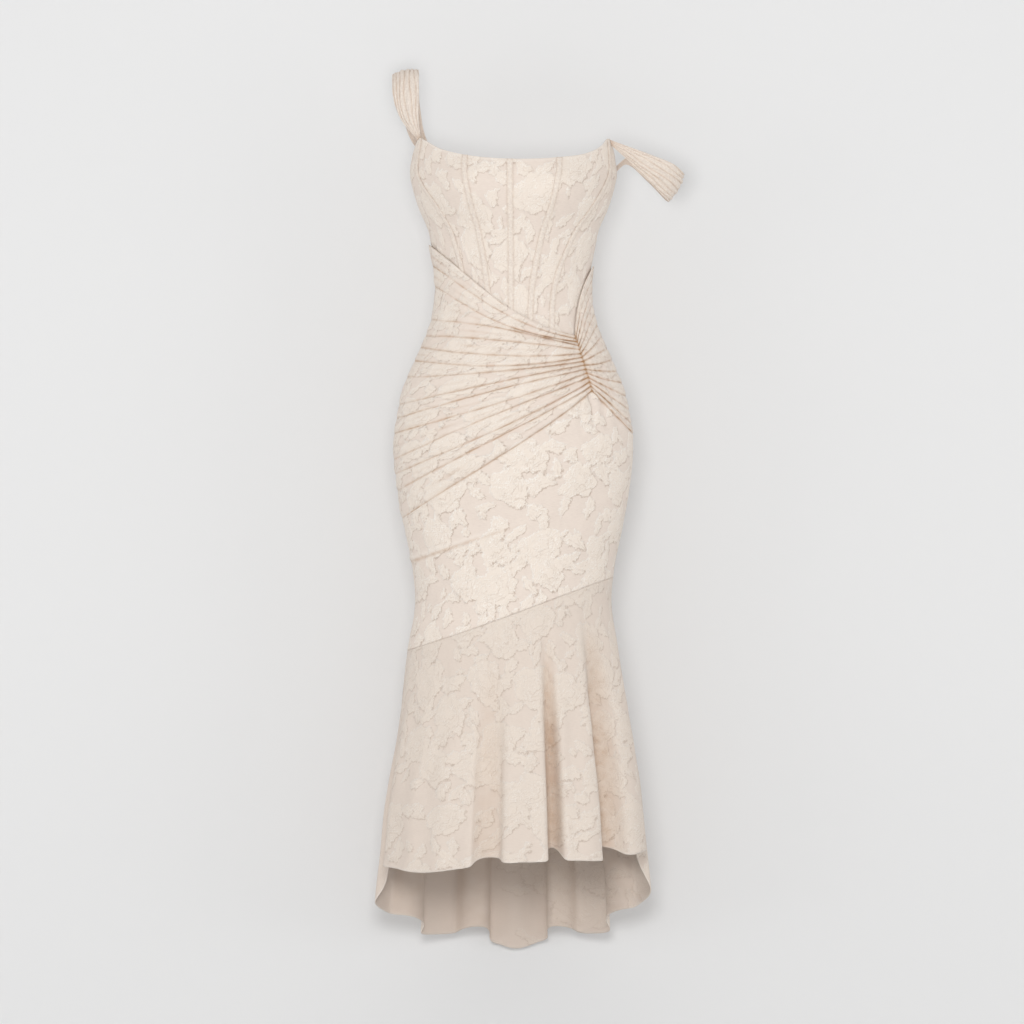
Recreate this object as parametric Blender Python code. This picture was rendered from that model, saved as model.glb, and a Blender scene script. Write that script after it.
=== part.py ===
# Long fitted dress with a boned bodice, a side-gathered wrap skirt, a high-low flounce
# and two gathered straps, in the hollow shape it has when worn.
# Metres, +Z up, the front faces -Y. "right" and "left" are the wearer's: right is -X.
# The origin lies on the body's axis at the lowest point of the front neckline.

import math

import bmesh
import bpy
import numpy as np

COLLECTION_NAME = "long_draped_dress"

# Cloth and clearances
CLOTH = 0.0015
SEAM_GAP = 0.0003
CASING_CLOTH = 0.0008
CASING_WIDTH = 0.0095
CASING_GAP = 0.0010
ZIP_CLOTH = 0.0008
ZIP_WIDTH = 0.020
WRAP_STAND_OFF = 0.0043

# Colours, from light to shaded cloth
IVORY = (0.86, 0.76, 0.66, 1.0)
IVORY_WRAP = (0.87, 0.77, 0.67, 1.0)
IVORY_CASING = (0.88, 0.79, 0.70, 1.0)
IVORY_FLOUNCE = (0.84, 0.74, 0.65, 1.0)
ZIP_TAPE = (0.80, 0.71, 0.62, 1.0)
CLOTH_ROUGHNESS = 0.78

# Level cuts of the worn form under the cloth: height, half width, depth ahead of and behind the axis
SECTION_COLUMNS = ("height", "half_width", "front", "back")
SECTIONS = (
    (0.050, 0.1515, 0.092, 0.082),
    (0.032, 0.1560, 0.100, 0.084),
    (0.000, 0.1615, 0.110, 0.088),
    (-0.020, 0.1640, 0.115, 0.089),
    (-0.048, 0.1590, 0.116, 0.088),
    (-0.080, 0.1489, 0.110, 0.086),
    (-0.112, 0.1350, 0.100, 0.083),
    (-0.144, 0.1285, 0.092, 0.080),
    (-0.176, 0.1220, 0.085, 0.077),
    (-0.208, 0.1195, 0.081, 0.076),
    (-0.240, 0.1220, 0.082, 0.079),
    (-0.272, 0.1305, 0.087, 0.086),
    (-0.304, 0.1440, 0.093, 0.095),
    (-0.336, 0.1580, 0.099, 0.104),
    (-0.368, 0.1720, 0.104, 0.113),
    (-0.400, 0.1815, 0.108, 0.121),
    (-0.432, 0.1880, 0.112, 0.127),
    (-0.464, 0.1895, 0.114, 0.129),
    (-0.528, 0.1835, 0.114, 0.124),
    (-0.592, 0.1720, 0.110, 0.114),
    (-0.656, 0.1595, 0.106, 0.106),
    (-0.700, 0.1555, 0.105, 0.104),
    (-0.784, 0.1680, 0.113, 0.114),
    (-0.912, 0.1840, 0.128, 0.136),
    (-1.040, 0.2000, 0.146, 0.160),
    (-1.104, 0.2050, 0.153, 0.172),
    (-1.190, 0.2120, 0.160, 0.186),
    (-1.270, 0.2140, 0.165, 0.196),
)

# Cups, shaped by the cut of the side front panels
CUP_OUT = 0.020
CUP_X = 0.082
CUP_HEIGHT = -0.046
CUP_SPREAD_X = 0.052
CUP_SPREAD_Z = 0.046

# Side seams, centre seams and the line on which the wrap is gathered, in degrees from the front
SIDE_SEAM = 90.0
CENTER_SEAM = -2.0
GATHER_LINE = 45.0
WAIST_HEIGHT = -0.208

# Top edge of the bodice: angle in degrees, height
TOP_EDGE_COLUMNS = ("angle", "height")
TOP_EDGE = (
    (-180.0, -0.024),
    (-150.0, -0.022),
    (-120.0, -0.016),
    (-97.0, -0.006),
    (-84.0, 0.012),
    (-74.0, 0.0335),
    (-66.0, 0.0310),
    (-45.0, 0.0145),
    (-28.0, 0.0052),
    (0.0, -0.0012),
    (28.0, 0.0020),
    (45.0, 0.0080),
    (62.0, 0.0210),
    (72.0, 0.0320),
    (78.0, 0.0325),
    (86.0, 0.0130),
    (97.0, -0.006),
    (120.0, -0.016),
    (150.0, -0.022),
    (180.0, -0.024),
)

# Bodice seams under the five casings: height, then each seam's angle in degrees
SEAM_COLUMNS = ("height", "right_princess", "right_inner", "center", "left_inner", "left_princess")
BODICE_SEAMS = (
    (0.035, -71.0, -29.0, CENTER_SEAM, 28.0, 74.0),
    (-0.030, -67.0, -28.0, CENTER_SEAM, 25.5, 67.0),
    (-0.075, -54.5, -26.5, CENTER_SEAM, 23.5, 57.0),
    (-0.126, -46.5, -24.0, CENTER_SEAM, 19.5, 45.0),
    (-0.190, -41.5, -21.0, CENTER_SEAM, 15.0, 34.5),
    (-0.260, -39.0, -18.5, CENTER_SEAM, 12.0, 28.5),
    (-0.330, -38.0, -17.0, CENTER_SEAM, 10.5, 24.0),
)
HIDDEN_BODICE_DEPTH = 0.030

# The wrap's folds, from the top edge down. Each row is one valley: its height at the right side
# seam, how far its middle sags below a straight line, its share of the gathered line, its height
# and sag at the left side, and how high the fold below it stands.
FOLD_COLUMNS = ("right_side", "right_sag", "share", "left_side", "left_sag", "stand")
FOLDS = (
    (-0.136, 0.022, 0.00, -0.170, -0.004, 0.0020),
    (-0.170, 0.017, 0.06, -0.192, -0.002, 0.0030),
    (-0.203, 0.015, 0.12, -0.211, 0.000, 0.0040),
    (-0.256, -0.006, 0.19, -0.229, 0.000, 0.0030),
    (-0.282, -0.003, 0.26, -0.246, 0.000, 0.0036),
    (-0.300, 0.009, 0.33, -0.264, 0.000, 0.0036),
    (-0.322, 0.011, 0.40, -0.283, 0.000, 0.0040),
    (-0.348, 0.004, 0.47, -0.302, 0.000, 0.0044),
    (-0.392, -0.004, 0.54, -0.320, 0.002, 0.0036),
    (-0.413, -0.005, 0.61, -0.338, 0.002, 0.0036),
    (-0.438, 0.001, 0.68, -0.357, 0.002, 0.0044),
    (-0.480, -0.007, 0.76, -0.378, 0.001, 0.0036),
    (-0.503, 0.003, 0.84, -0.400, 0.000, 0.0040),
    (-0.528, 0.001, 0.92, -0.421, 0.000, 0.0048),
    (-0.574, 0.006, 1.00, -0.438, 0.000, 0.0000),
)
GATHER_TOP = -0.2815
GATHER_BOTTOM = -0.3705
FOLD_ROUNDNESS = 0.7
FOLD_AT_SIDE = 0.45
GATHER_PINCH = 0.10

# Slanting seam between the skirt and the flounce
FLOUNCE_SEAM_HEIGHT = -0.7255
FLOUNCE_SEAM_TILT = 0.0585

# Flounce waves at the hem, each row a crest or a hollow: angle in degrees, distance out
WAVE_COLUMNS = ("angle", "out")
WAVES = (
    (-90.0, -0.008),
    (-60.0, 0.012),
    (-24.0, 0.013),
    (-11.5, -0.010),
    (1.0, 0.014),
    (12.0, 0.017),
    (18.5, -0.024),
    (25.0, 0.018),
    (37.0, 0.019),
    (46.0, -0.025),
    (70.0, 0.014),
    (90.0, -0.010),
    (108.0, 0.014),
    (126.0, -0.014),
    (145.0, 0.016),
    (161.0, -0.016),
    (170.0, 0.022),
    (185.0, 0.022),
    (195.0, -0.016),
    (213.0, 0.016),
    (232.0, -0.016),
    (250.0, 0.016),
    (270.0, -0.008),
)
WAVE_OVERHANG = 0.12
WAVE_SHARPNESS = 1.4
FULL_WAVE = 0.025
WAVE_DROP = 0.50

# Hem of the flounce: angle in degrees, height
HEM_COLUMNS = ("angle", "height")
HEM = (
    (-90.0, -1.135),
    (-75.0, -1.124),
    (-40.0, -1.130),
    (-10.0, -1.116),
    (20.0, -1.108),
    (60.0, -1.106),
    (80.0, -1.095),
    (90.0, -1.108),
    (100.0, -1.150),
    (112.0, -1.186),
    (125.0, -1.212),
    (138.0, -1.232),
    (155.0, -1.238),
    (166.0, -1.243),
    (179.0, -1.259),
    (192.0, -1.243),
    (208.0, -1.238),
    (226.0, -1.234),
    (238.0, -1.214),
    (252.0, -1.188),
    (263.0, -1.165),
    (270.0, -1.135),
)

# Gathered straps: the points of both edges, from the front of the bodice round to the back.
# Their ends follow the bodice's top edge: angle and drop below it for the inner and outer edge.
END_COLUMNS = ("inner_angle", "inner_drop", "outer_angle", "outer_drop", "out")
RIGHT_STRAP_ENDS = (
    (-71.5, -0.0009, -76.5, -0.0017, 0.0),
    (-140.0, -0.0010, -130.0, -0.0010, 0.0),
)
LEFT_STRAP_ENDS = (
    (77.8, 0.0010, 79.0, 0.0090, CLOTH + 0.0004),
    (104.0, 0.0010, 105.0, 0.0110, CLOTH + 0.0004),
)
STRAP_COLUMNS = ("inner_x", "inner_y", "inner_z", "outer_x", "outer_y", "outer_z")
RIGHT_STRAP = (
    (-0.1505, -0.0230, 0.0640, -0.1790, -0.0080, 0.0640),
    (-0.1505, -0.0130, 0.1000, -0.1915, -0.0010, 0.1000),
    (-0.1510, 0.0060, 0.1330, -0.1935, 0.0130, 0.1270),
    (-0.1520, 0.0330, 0.1430, -0.1930, 0.0350, 0.1350),
    (-0.1530, 0.0600, 0.1260, -0.1890, 0.0580, 0.1190),
    (-0.1500, 0.0760, 0.0860, -0.1800, 0.0720, 0.0820),
    (-0.1390, 0.0760, 0.0350, -0.1640, 0.0660, 0.0350),
)
LEFT_STRAP = (
    (0.1900, -0.0230, 0.0190, 0.1790, -0.0170, 0.0030),
    (0.2220, -0.0250, 0.0070, 0.1990, -0.0190, -0.0180),
    (0.2540, -0.0160, -0.0058, 0.2260, -0.0130, -0.0445),
    (0.2700, 0.0050, -0.0200, 0.2440, 0.0040, -0.0630),
    (0.2660, 0.0280, -0.0220, 0.2420, 0.0240, -0.0620),
    (0.2380, 0.0480, -0.0060, 0.2150, 0.0420, -0.0330),
    (0.1930, 0.0520, 0.0090, 0.1830, 0.0480, -0.0060),
)
STRAP_CLOTH = 0.0016
STRAP_FOLDS = 4
STRAP_FOLD_OUT = 0.0022
STRAP_CROWN = 0.004

# Grid counts
BODICE_ROWS = 12
CENTER_COLUMNS = 4
CUP_COLUMNS = 8
SIDE_COLUMNS = 4
BACK_COLUMNS = 8
BACK_ROWS = 7
SKIRT_RIGHT_COLUMNS = 18
SKIRT_LEFT_COLUMNS = 8
ROWS_PER_FOLD = 3
LOWER_SKIRT_ROWS = 9
SKIRT_BACK_ROWS = 14
COLUMNS_PER_HALF_WAVE = 5
FLOUNCE_ROWS = 9
STRAP_LENGTH_ROWS = 22
STRAP_COLUMNS_PER_FOLD = 3
ZIP_BOTTOM = -0.430


def column(rows, names, name):
    """One named column of a table."""
    return np.array([row[names.index(name)] for row in rows], dtype=float)


def smooth_read(places, values, at):
    """Values on the smooth curve through a table's points, held level past its ends."""
    order = np.argsort(places)
    places = places[order]
    values = values[order]
    slopes = np.gradient(values, places)
    at = np.clip(np.asarray(at, dtype=float), places[0], places[-1])
    spot = np.clip(np.searchsorted(places, at) - 1, 0, len(places) - 2)
    span = places[spot + 1] - places[spot]
    part = (at - places[spot]) / span
    rise = part * part * (3.0 - 2.0 * part)
    start_push = part * (1.0 - part) ** 2 * span * slopes[spot]
    end_push = part * part * (part - 1.0) * span * slopes[spot + 1]
    return values[spot] * (1.0 - rise) + values[spot + 1] * rise + start_push + end_push


def ease(part):
    """A smooth step from 0 to 1."""
    part = np.clip(part, 0.0, 1.0)
    return part * part * (3.0 - 2.0 * part)


def section(height):
    """Half width, front depth and back depth of the worn form at a height."""
    heights = column(SECTIONS, SECTION_COLUMNS, "height")
    return [
        smooth_read(heights, column(SECTIONS, SECTION_COLUMNS, name), height)
        for name in SECTION_COLUMNS[1:]
    ]


def body_point(angle, height, out):
    """A point at an angle from the front and a height, moved out along the section's normal."""
    angle, height, out = np.broadcast_arrays(
        np.asarray(angle, dtype=float), np.asarray(height, dtype=float), np.asarray(out, dtype=float)
    )
    half_width, front, back = section(height)
    turn = np.radians(angle)
    ahead = np.cos(turn)
    depth = np.where(ahead > 0.0, front, back)
    x = half_width * np.sin(turn)
    y = -depth * ahead
    across = (np.abs(x) - CUP_X) / CUP_SPREAD_X
    upward = (height - CUP_HEIGHT) / CUP_SPREAD_Z
    y = y - CUP_OUT * np.exp(-across**2 - upward**2) * ease(ahead * 3.0)
    normal_x = np.sin(turn) / half_width
    normal_y = -ahead / depth
    length = np.hypot(normal_x, normal_y)
    return np.stack((x + out * normal_x / length, y + out * normal_y / length, height), axis=-1)


def top_edge(angle):
    """Height of the bodice's top edge."""
    return smooth_read(
        column(TOP_EDGE, TOP_EDGE_COLUMNS, "angle"), column(TOP_EDGE, TOP_EDGE_COLUMNS, "height"), angle
    )


def seam_angle(name, height):
    """Angle of a bodice seam at a height, in degrees."""
    heights = column(BODICE_SEAMS, SEAM_COLUMNS, "height")
    return smooth_read(heights, column(BODICE_SEAMS, SEAM_COLUMNS, name), height)


def fold_valley(angle, row):
    """Height of one of the wrap's valleys, on either side of the gathered line."""
    fold = dict(zip(FOLD_COLUMNS, FOLDS[row]))
    across = np.sin(np.radians(angle))
    gather = math.sin(math.radians(GATHER_LINE))
    side = math.sin(math.radians(SIDE_SEAM))
    gather_height = GATHER_TOP + (GATHER_BOTTOM - GATHER_TOP) * fold["share"]
    to_right = np.clip((gather - across) / (gather + side), 0.0, 1.0)
    to_left = np.clip((across - gather) / (side - gather), 0.0, 1.0)
    right = gather_height + (fold["right_side"] - gather_height) * to_right
    right = right - fold["right_sag"] * 4.0 * to_right * (1.0 - to_right)
    left = gather_height + (fold["left_side"] - gather_height) * to_left
    left = left - fold["left_sag"] * 4.0 * to_left * (1.0 - to_left)
    return np.where(across < gather, right, left)


def fold_fade(angle):
    """How strongly the folds stand: pinched at the gathered line, soft at the side seams."""
    across = np.sin(np.radians(angle))
    gather = math.sin(math.radians(GATHER_LINE))
    reach = np.where(across < gather, gather + 1.0, 1.0 - gather)
    away = np.abs(across - gather)
    pinch = 0.35 + 0.65 * ease(away / GATHER_PINCH)
    soften = 1.0 - (1.0 - FOLD_AT_SIDE) * ease(away / reach)
    return pinch * soften


def flounce_seam(angle):
    """Height of the slanting seam above the flounce."""
    return FLOUNCE_SEAM_HEIGHT + FLOUNCE_SEAM_TILT * np.sin(np.radians(angle))


def grid_wall(name, inner, outer, color):
    """A closed wall between two grids of points, the same size, with a rim round the edge."""
    rows, columns = inner.shape[:2]
    count = rows * columns
    index = np.arange(count).reshape(rows, columns)
    points = np.concatenate((inner.reshape(-1, 3), outer.reshape(-1, 3)))
    quads = np.stack((index[:-1, :-1], index[:-1, 1:], index[1:, 1:], index[1:, :-1]), axis=-1)
    inner_faces = quads.reshape(-1, 4)
    outer_faces = inner_faces[:, ::-1] + count
    loop = np.concatenate((index[0, :-1], index[:-1, -1], index[-1, :0:-1], index[:0:-1, 0]))
    after = np.roll(loop, -1)
    rim_faces = np.stack((after, loop, loop + count, after + count), axis=-1)
    faces = np.concatenate((inner_faces, outer_faces, rim_faces))
    mesh = bpy.data.meshes.new(name)
    mesh.from_pydata(points.tolist(), [], faces.tolist())
    whole = bmesh.new()
    whole.from_mesh(mesh)
    bmesh.ops.recalc_face_normals(whole, faces=whole.faces)
    bmesh.ops.triangulate(whole, faces=whole.faces)
    whole.to_mesh(mesh)
    whole.free()
    mesh.shade_smooth()
    mesh.set_sharp_from_angle(angle=math.radians(50.0))
    piece = bpy.data.objects.new(name, mesh)
    bpy.data.collections[COLLECTION_NAME].objects.link(piece)
    mesh.materials.append(cloth_material(name, color))
    return piece


def cloth_material(name, color):
    """A matt cloth of one colour."""
    material = bpy.data.materials.new(name + "_cloth")
    material.use_nodes = True
    shader = material.node_tree.nodes["Principled BSDF"]
    shader.inputs["Base Color"].default_value = color
    shader.inputs["Roughness"].default_value = CLOTH_ROUGHNESS
    shader.inputs["Metallic"].default_value = 0.0
    return material


def side_gap(height):
    """Half a seam's gap as an angle in degrees, where the form is as wide as at the height."""
    return np.degrees(SEAM_GAP * 0.5 / section(height)[0])


def front_gap(height):
    """Half a seam's gap as an angle in degrees, for a seam on the front."""
    return np.degrees(SEAM_GAP * 0.6 / section(height)[1])


def bodice_bottom(angle):
    """Lower edge of the front bodice panels, hidden behind the wrap."""
    return fold_valley(angle, 0) - HIDDEN_BODICE_DEPTH


def panel_grid(from_seam, to_seam, columns, rows):
    """Angles and heights of a front bodice panel between two seams."""
    share = np.linspace(0.0, 1.0, columns + 1)[None, :]
    lift = np.linspace(0.0, 1.0, rows + 1)[:, None]
    height = np.zeros((rows + 1, columns + 1))
    for _ in range(12):
        start = from_seam(height)
        end = to_seam(height)
        angle = start + (end - start) * share
        low = bodice_bottom(angle)
        height = low + (top_edge(angle) - low) * lift
    return angle, height


def build_front_bodice():
    """Six shaped panels between the side seams and the five front seams."""
    def named_seam(name, shift):
        return lambda height: seam_angle(name, height) + shift * front_gap(height)

    def side(turn, shift):
        return lambda height: turn + shift * side_gap(height)

    panels = (
        ("bodice_side_right", side(-SIDE_SEAM, 1), named_seam("right_princess", -1), SIDE_COLUMNS),
        ("bodice_cup_right", named_seam("right_princess", 1), named_seam("right_inner", -1), CUP_COLUMNS),
        ("bodice_center_right", named_seam("right_inner", 1), named_seam("center", -1), CENTER_COLUMNS),
        ("bodice_center_left", named_seam("center", 1), named_seam("left_inner", -1), CENTER_COLUMNS),
        ("bodice_cup_left", named_seam("left_inner", 1), named_seam("left_princess", -1), CUP_COLUMNS),
        ("bodice_side_left", named_seam("left_princess", 1), side(SIDE_SEAM, -1), SIDE_COLUMNS),
    )
    grids = []
    for name, from_seam, to_seam, columns in panels:
        angle, height = panel_grid(from_seam, to_seam, columns, BODICE_ROWS)
        inner = body_point(angle, height, 0.0)
        outer = body_point(angle, height, CLOTH)
        grid_wall(name, inner, outer, IVORY)
        grids.append((angle, height))
    return grids


def build_back_bodice():
    """Two panels from the side seams to the centre back, from the top edge to the waist seam."""
    for name, side in (("bodice_back_right", -1.0), ("bodice_back_left", 1.0)):
        gap = side_gap(WAIST_HEIGHT)
        angle = side * np.linspace(SIDE_SEAM + gap, 180.0 - gap, BACK_COLUMNS + 1)[None, :]
        lift = np.linspace(0.0, 1.0, BACK_ROWS + 1)[:, None]
        low = WAIST_HEIGHT + SEAM_GAP * 0.5
        height = low + (top_edge(angle) - low) * lift
        inner = body_point(angle, height, 0.0)
        outer = body_point(angle, height, CLOTH)
        grid_wall(name, inner, outer, IVORY)


def build_casings(panels):
    """Five bone casings over the front seams, made from the points of the panels on both sides."""
    for seam, (angle, height), (next_angle, next_height) in zip(SEAM_COLUMNS[1:], panels, panels[1:]):
        faces = []
        for depth in (CLOTH + CASING_GAP, CLOTH + CASING_GAP + CASING_CLOTH):
            panel = body_point(angle[:, -2:], height[:, -2:], depth)
            next_panel = body_point(next_angle[:, :2], next_height[:, :2], depth)
            edge = toward(panel[:, 1], panel[:, 0], CASING_WIDTH * 0.5)
            next_edge = toward(next_panel[:, 0], next_panel[:, 1], CASING_WIDTH * 0.5)
            faces.append(np.stack((edge, panel[:, 1], next_panel[:, 0], next_edge), axis=1))
        grid_wall("casing_" + seam, faces[0], faces[1], IVORY_CASING)


def toward(start, end, distance):
    """Points a set distance along the straight lines from the starts to the ends."""
    way = end - start
    return start + way * (distance / np.linalg.norm(way, axis=-1, keepdims=True))


def skirt_rows():
    """Places of the skirt's rows: whole numbers are the folds' valleys, then the smooth part."""
    last = len(FOLDS) - 1
    folded = np.arange(last * ROWS_PER_FOLD) / ROWS_PER_FOLD
    smooth = last + np.linspace(0.0, 1.0, LOWER_SKIRT_ROWS + 1)
    return np.concatenate((folded, smooth))


def build_skirt_front():
    """The wrap and the skirt front in one panel, gathered on a short line at the left hip."""
    right_share = np.linspace(0.0, 1.0, SKIRT_RIGHT_COLUMNS + 1)
    left_share = np.linspace(0.0, 1.0, SKIRT_LEFT_COLUMNS + 1)[1:]
    gap = side_gap(GATHER_BOTTOM)
    right_angle = -SIDE_SEAM + gap + (GATHER_LINE + SIDE_SEAM - gap) * right_share
    left_angle = GATHER_LINE + (SIDE_SEAM - gap - GATHER_LINE) * left_share
    angle = np.concatenate((right_angle, left_angle))
    last = len(FOLDS) - 1
    hem = flounce_seam(angle) + SEAM_GAP * 0.5
    heights = []
    stands = []
    for place in skirt_rows():
        valley = min(int(place), last - 1)
        part = place - valley
        if place >= last:
            upper = fold_valley(angle, last)
            heights.append(upper + (hem - upper) * (place - last))
            stands.append(np.zeros_like(angle))
            continue
        upper = fold_valley(angle, valley)
        lower = fold_valley(angle, valley + 1)
        heights.append(upper + (lower - upper) * part)
        swell = math.sin(math.pi * part) ** FOLD_ROUNDNESS
        stands.append(FOLDS[valley][FOLD_COLUMNS.index("stand")] * swell * fold_fade(angle))
    height = np.array(heights)
    stand = np.array(stands)
    angle = np.broadcast_to(angle, height.shape)
    stand_off = WRAP_STAND_OFF * ease((height - (GATHER_BOTTOM - 0.05)) / 0.08)
    inner = body_point(angle, height, stand_off + stand)
    outer = body_point(angle, height, stand_off + stand + CLOTH)
    grid_wall("skirt_front", inner, outer, IVORY_WRAP)


def build_skirt_back():
    """Two plain panels from the waist seam to the flounce."""
    for name, side in (("skirt_back_right", -1.0), ("skirt_back_left", 1.0)):
        gap = side_gap(WAIST_HEIGHT)
        angle = side * np.linspace(SIDE_SEAM + gap, 180.0 - gap, BACK_COLUMNS + 1)[None, :]
        lift = np.linspace(0.0, 1.0, SKIRT_BACK_ROWS + 1)[:, None]
        high = WAIST_HEIGHT - SEAM_GAP * 0.5
        low = flounce_seam(angle) + SEAM_GAP * 0.5
        height = low + (high - low) * lift
        inner = body_point(angle, height, 0.0)
        outer = body_point(angle, height, CLOTH)
        grid_wall(name, inner, outer, IVORY)


def wave(angle):
    """The flounce's distance out and its sideways lean at the hem, at angles in degrees."""
    places = column(WAVES, WAVE_COLUMNS, "angle")
    outs = column(WAVES, WAVE_COLUMNS, "out")
    spot = np.clip(np.searchsorted(places, angle, side="right") - 1, 0, len(places) - 2)
    span = places[spot + 1] - places[spot]
    part = np.clip((angle - places[spot]) / span, 0.0, 1.0)
    rise = 0.5 - 0.5 * np.cos(math.pi * part)
    crest = np.maximum(outs[spot], outs[spot + 1])
    hollow = np.minimum(outs[spot], outs[spot + 1])
    from_crest = np.where(outs[spot] > outs[spot + 1], rise, 1.0 - rise)
    out = crest + (hollow - crest) * from_crest**WAVE_SHARPNESS
    lean = WAVE_OVERHANG * span * np.minimum((crest - hollow) / FULL_WAVE, 1.0) * np.sin(2.0 * math.pi * part)
    return out, lean


def build_flounce():
    """A front and a back piece whose waves grow from the seam to the hem."""
    extremes = column(WAVES, WAVE_COLUMNS, "angle")
    spans = (("flounce_front", -SIDE_SEAM, SIDE_SEAM), ("flounce_back", SIDE_SEAM, 360.0 - SIDE_SEAM))
    for name, start, end in spans:
        inside = extremes[(extremes >= start) & (extremes <= end)]
        steps = np.arange(COLUMNS_PER_HALF_WAVE) / COLUMNS_PER_HALF_WAVE
        pieces = [low + (high - low) * steps for low, high in zip(inside[:-1], inside[1:])]
        angle = np.concatenate(pieces + [inside[-1:]])
        gap = side_gap(HEM[0][1])
        angle[0] += 1.4 * gap
        angle[-1] -= 1.4 * gap
        down = np.linspace(0.0, 1.0, FLOUNCE_ROWS + 1)[:, None]
        out, lean = wave(angle)
        high = flounce_seam(angle) - SEAM_GAP * 0.5
        hem_height = smooth_read(
            column(HEM, HEM_COLUMNS, "angle"), column(HEM, HEM_COLUMNS, "height"), angle
        )
        low = hem_height - WAVE_DROP * out
        height = high + (low - high) * down
        growth = ease(down * 1.5) * (0.45 + 0.55 * down)
        turned = angle + lean * growth
        inner = body_point(turned, height, out * growth)
        outer = body_point(turned, height, out * growth + CLOTH)
        grid_wall(name, inner, outer, IVORY_FLOUNCE)


def strap_end(end):
    """The points of both edges where a strap meets the bodice's top edge."""
    values = dict(zip(END_COLUMNS, end))
    points = []
    for edge in ("inner", "outer"):
        angle = values[edge + "_angle"]
        height = top_edge(angle) - values[edge + "_drop"]
        points.extend(body_point(angle, height, values["out"]))
    return tuple(points)


def build_strap(name, table, ends, side):
    """A gathered band between two edge curves, with lengthwise folds raised on its outer face."""
    table = (strap_end(ends[0]),) + table + (strap_end(ends[1]),)
    places = np.linspace(0.0, 1.0, len(table))
    along = np.linspace(0.0, 1.0, STRAP_LENGTH_ROWS + 1)
    values = [smooth_read(places, column(table, STRAP_COLUMNS, title), along) for title in STRAP_COLUMNS]
    inner_edge = np.stack(values[:3], axis=-1)[:, None, :]
    outer_edge = np.stack(values[3:], axis=-1)[:, None, :]
    across = np.linspace(0.0, 1.0, STRAP_FOLDS * STRAP_COLUMNS_PER_FOLD + 1)[None, :, None]
    middle = inner_edge + (outer_edge - inner_edge) * across
    direction = np.gradient(middle, axis=0)
    crosswise = np.broadcast_to(outer_edge - inner_edge, middle.shape)
    facing = np.cross(direction, crosswise)
    facing = facing / np.linalg.norm(facing, axis=-1, keepdims=True)
    width = np.linalg.norm(outer_edge - inner_edge, axis=-1, keepdims=True)
    widest = width.max()
    swell = np.sin(math.pi * across) * STRAP_CROWN * (width / widest)
    fold = np.abs(np.sin(math.pi * STRAP_FOLDS * across)) ** FOLD_ROUNDNESS
    fold = fold * STRAP_FOLD_OUT * (width / widest)
    inner = middle + facing * side * swell
    outer = middle + facing * side * (swell + fold + STRAP_CLOTH)
    grid_wall(name, inner, outer, IVORY_CASING)


def build_zip():
    """The tape of the closed concealed zip, behind the back panels' own points at the centre seam."""
    bodice_low = WAIST_HEIGHT + SEAM_GAP * 0.5
    bodice_heights = np.linspace(bodice_low, top_edge(180.0), BACK_ROWS + 1)
    skirt_high = WAIST_HEIGHT - SEAM_GAP * 0.5
    skirt_heights = np.linspace(flounce_seam(180.0), skirt_high, SKIRT_BACK_ROWS + 1)
    height = np.concatenate((skirt_heights[skirt_heights > ZIP_BOTTOM], bodice_heights))[:, None]
    next_column = 180.0 - (180.0 - SIDE_SEAM) / BACK_COLUMNS
    faces = []
    for depth in (-SEAM_GAP - ZIP_CLOTH, -SEAM_GAP):
        seam = body_point(180.0, height, depth)
        left_edge = toward(seam, body_point(next_column, height, depth), ZIP_WIDTH * 0.5)
        right_edge = left_edge * np.array((-1.0, 1.0, 1.0))
        faces.append(np.concatenate((left_edge, seam, right_edge), axis=1))
    grid_wall("back_zip_tape", faces[0], faces[1], ZIP_TAPE)


def build_dress():
    """Every piece of the dress, in its own collection."""
    for old in list(bpy.data.objects):
        bpy.data.objects.remove(old, do_unlink=True)
    collection = bpy.data.collections.new(COLLECTION_NAME)
    bpy.context.scene.collection.children.link(collection)
    build_casings(build_front_bodice())
    build_back_bodice()
    build_skirt_front()
    build_skirt_back()
    build_flounce()
    build_strap("strap_right", RIGHT_STRAP, RIGHT_STRAP_ENDS, 1.0)
    build_strap("strap_left", LEFT_STRAP, LEFT_STRAP_ENDS, -1.0)
    build_zip()


build_dress()
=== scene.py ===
import math

import bmesh
import bpy
import numpy as np
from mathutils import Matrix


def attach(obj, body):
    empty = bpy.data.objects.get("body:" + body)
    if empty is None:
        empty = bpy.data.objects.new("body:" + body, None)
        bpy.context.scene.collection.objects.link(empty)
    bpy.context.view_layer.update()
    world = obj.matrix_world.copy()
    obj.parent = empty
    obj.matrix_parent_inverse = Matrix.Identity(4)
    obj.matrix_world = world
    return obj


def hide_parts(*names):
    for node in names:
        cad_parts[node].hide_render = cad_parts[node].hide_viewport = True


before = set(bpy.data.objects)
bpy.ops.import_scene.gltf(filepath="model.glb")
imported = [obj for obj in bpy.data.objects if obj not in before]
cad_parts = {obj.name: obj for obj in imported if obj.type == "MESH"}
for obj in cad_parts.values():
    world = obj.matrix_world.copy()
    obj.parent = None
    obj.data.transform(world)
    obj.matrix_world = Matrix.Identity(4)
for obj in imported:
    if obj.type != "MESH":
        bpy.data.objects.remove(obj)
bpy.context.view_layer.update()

# The dress is worked out as curved grids, angle by height, on the worn form.
# Angles are in degrees from the front, + towards +X; heights and sizes are in metres.
# The front faces -Y. "right" and "left" are the wearer's.

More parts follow.
